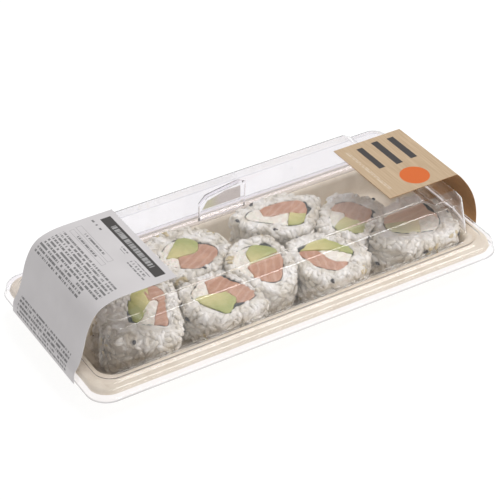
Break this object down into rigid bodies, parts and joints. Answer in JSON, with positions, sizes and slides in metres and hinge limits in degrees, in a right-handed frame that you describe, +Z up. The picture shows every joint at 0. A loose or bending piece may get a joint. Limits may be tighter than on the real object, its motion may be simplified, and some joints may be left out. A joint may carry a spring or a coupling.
{
  "type": "takeaway sushi tray",
  "caption": "Shut takeaway pack of cut inside-out sushi rolls: a moulded pulp tray with a clear domed lid and two paper labels folded over its ends.",
  "frame": {"origin": "middle of the tray's flat base, where it stands", "axes": "+X along the length towards the kraft label, +Y across towards the back, +Z up"},
  "size_m": [0.2396, 0.1084, 0.0476],
  "materials": {
    "tray_pulp": "matte moulded plant-fibre pulp",
    "clear_plastic": "clear thermoformed sheet",
    "white_paper": "matte white label paper with plain dark print",
    "kraft_paper": "brown kraft label paper with plain print",
    "rice": null,
    "nori": null,
    "salmon": null,
    "avocado": null,
    "cheese": null
  },
  "bodies": {
    "root": {"tray": "tray_pulp", "lid": "clear_plastic", "label_white": "white_paper", "label_kraft": "kraft_paper", "rice_1": "rice", "rice_2": "rice", "rice_3": "rice", "rice_4": "rice", "rice_5": "rice", "rice_6": "rice", "rice_7": "rice", "rice_8": "rice", "nori_1": "nori", "nori_2": "nori", "nori_3": "nori", "nori_4": "nori", "nori_5": "nori", "nori_6": "nori", "nori_7": "nori", "nori_8": "nori", "salmon_1": "salmon", "salmon_2": "salmon", "salmon_3": "salmon", "salmon_4": "salmon", "salmon_5": "salmon", "salmon_6": "salmon", "salmon_7": "salmon", "salmon_8": "salmon", "avocado_1": "avocado", "avocado_2": "avocado", "avocado_3": "avocado", "avocado_4": "avocado", "avocado_5": "avocado", "avocado_6": "avocado", "avocado_7": "avocado", "avocado_8": "avocado", "cheese_1": "cheese", "cheese_2": "cheese", "cheese_3": "cheese", "cheese_4": "cheese", "cheese_5": "cheese", "cheese_6": "cheese", "cheese_7": "cheese", "cheese_8": "cheese"}
  },
  "joints": []
}
